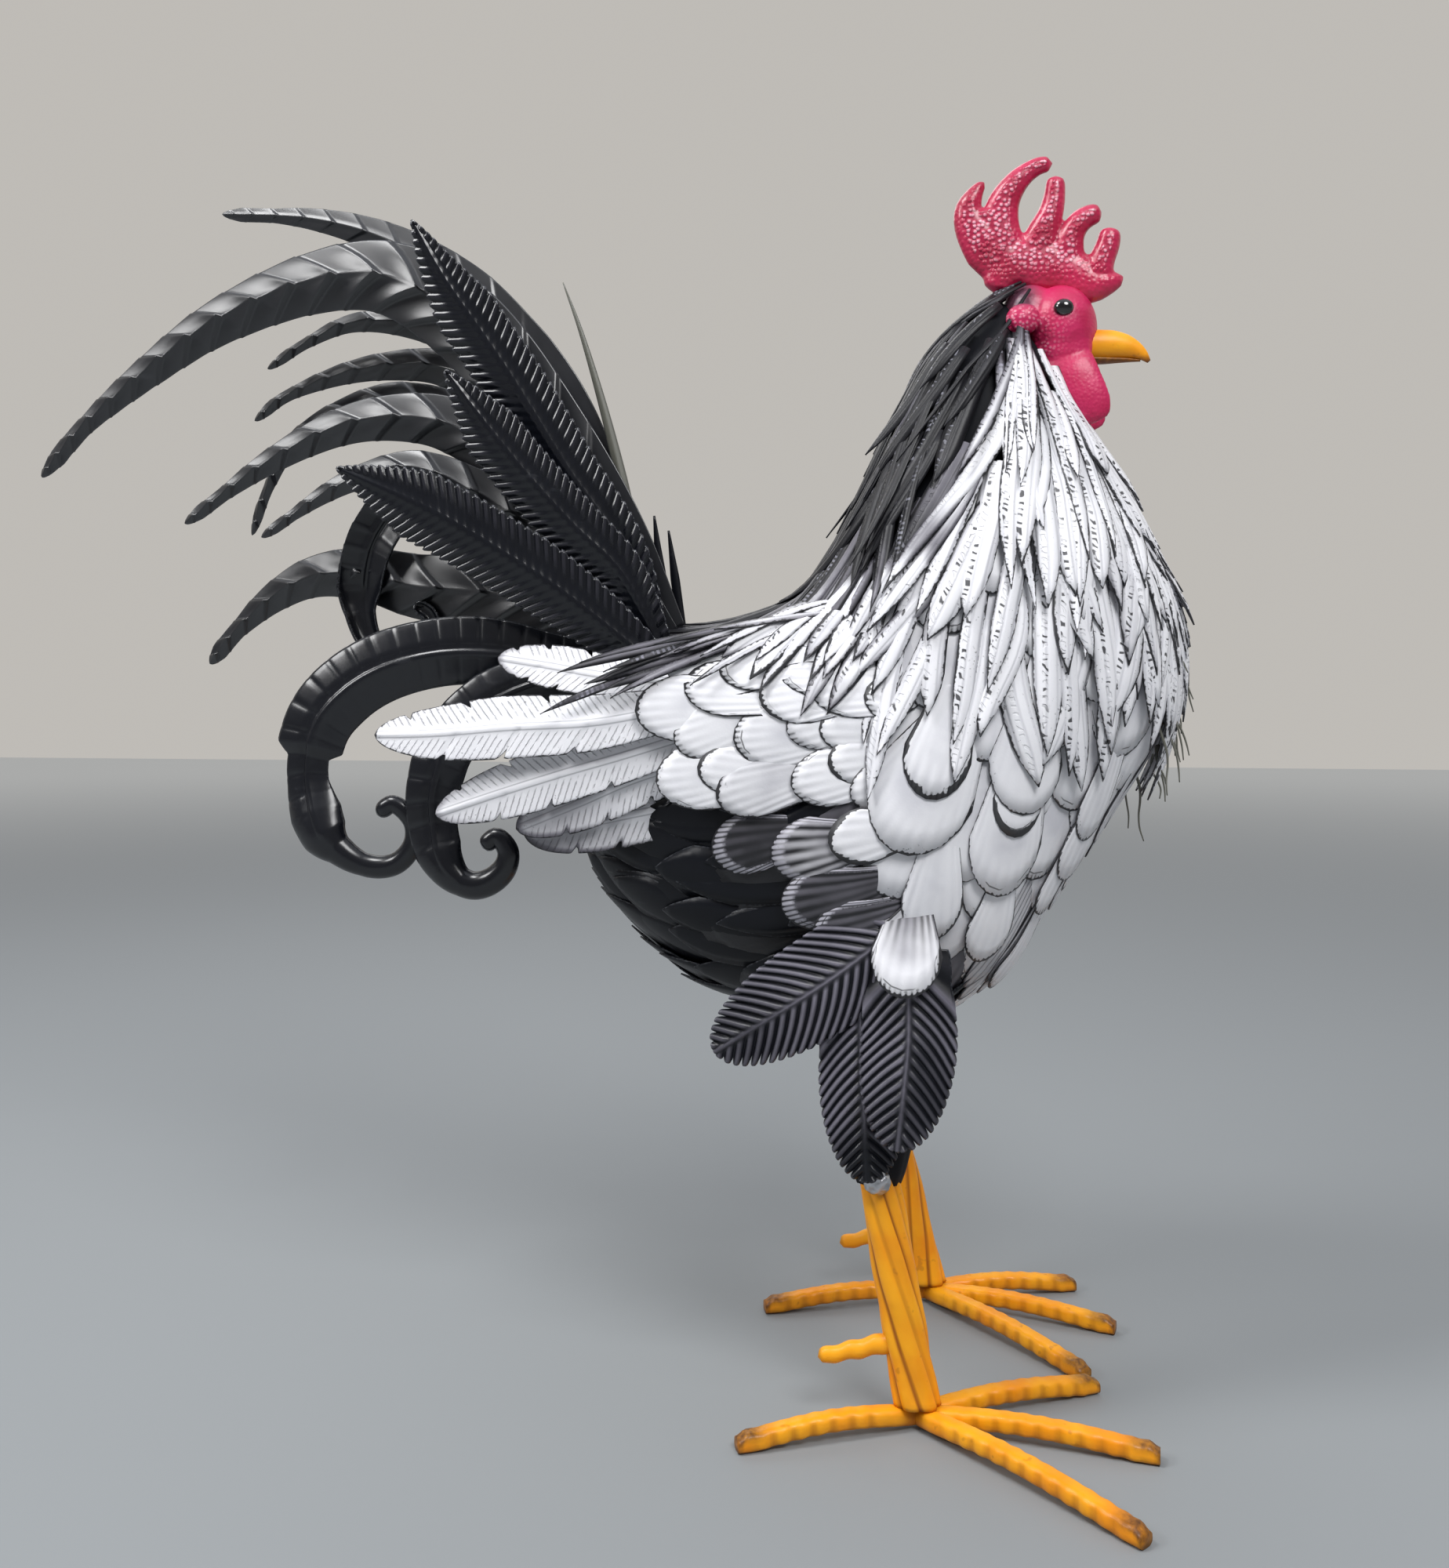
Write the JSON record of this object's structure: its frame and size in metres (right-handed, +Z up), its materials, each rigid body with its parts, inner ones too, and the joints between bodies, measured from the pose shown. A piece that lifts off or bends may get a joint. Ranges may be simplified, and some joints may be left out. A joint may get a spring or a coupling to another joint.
{
  "type": "metal rooster figurine",
  "caption": "Standing rooster made of welded and painted sheet-metal feathers, with an upright fan of sickle tail feathers, standing on spread toes.",
  "frame": {"origin": "bottom centre of the bounding box, on the surface it stands on", "axes": "+X towards the beak, +Y to the bird's left, +Z up"},
  "size_m": [0.6146, 0.2632, 0.6196],
  "materials": {
    "white_paint": "satin white paint with dark edge lines and grey shading",
    "black_paint": "satin black paint",
    "red_paint": "semi-gloss crimson paint over hammered metal",
    "orange_paint": "satin orange-yellow paint with brown creases",
    "eye_enamel": "gloss black enamel",
    "bare_weld": "bare weld bead"
  },
  "bodies": {
    "root": {"beak": "orange_paint", "body": "white_paint", "comb": "red_paint", "curl_great": "black_paint", "curl_small": "black_paint", "curl_upper_left": "black_paint", "eye_left": "eye_enamel", "eye_right": "eye_enamel", "head": "red_paint", "knee_weld_left": "bare_weld", "knee_weld_right": "bare_weld", "leg_feather_back_left": "black_paint", "leg_feather_back_right": "black_paint", "leg_feather_front_left": "black_paint", "leg_feather_front_right": "black_paint", "leg_feather_low_left": "black_paint", "leg_feather_low_right": "black_paint", "quill_front_left": "black_paint", "ribbed_lower_left": "black_paint", "ribbed_lower_right": "black_paint", "ribbed_middle_left": "black_paint", "ribbed_middle_right": "black_paint", "ribbed_upper_left": "black_paint", "ribbed_upper_right": "black_paint", "shank_left": "orange_paint", "shank_right": "orange_paint", "sickle_great": "black_paint", "sickle_low_left": "black_paint", "sickle_lower_right": "black_paint", "sickle_middle_left": "black_paint", "sickle_middle_right": "black_paint", "sickle_small_left": "black_paint", "sickle_top": "black_paint", "sickle_upper_left": "black_paint", "spur_left": "orange_paint", "spur_right": "orange_paint", "thigh_left": "black_paint", "thigh_right": "black_paint", "toe_back_left": "orange_paint", "toe_back_right": "orange_paint", "toe_inner_left": "orange_paint", "toe_inner_right": "orange_paint", "toe_middle_left": "orange_paint", "toe_middle_right": "orange_paint", "toe_outer_left": "orange_paint", "toe_outer_right": "orange_paint", "wing_feather_1_left": "white_paint", "wing_feather_1_right": "white_paint", "wing_feather_2_left": "white_paint", "wing_feather_2_right": "white_paint", "wing_feather_3_left": "white_paint", "wing_feather_3_right": "white_paint", "wing_feather_4_left": "white_paint", "wing_feather_4_right": "white_paint", "wing_feather_5_left": "white_paint", "wing_feather_5_right": "white_paint"}
  },
  "joints": []
}
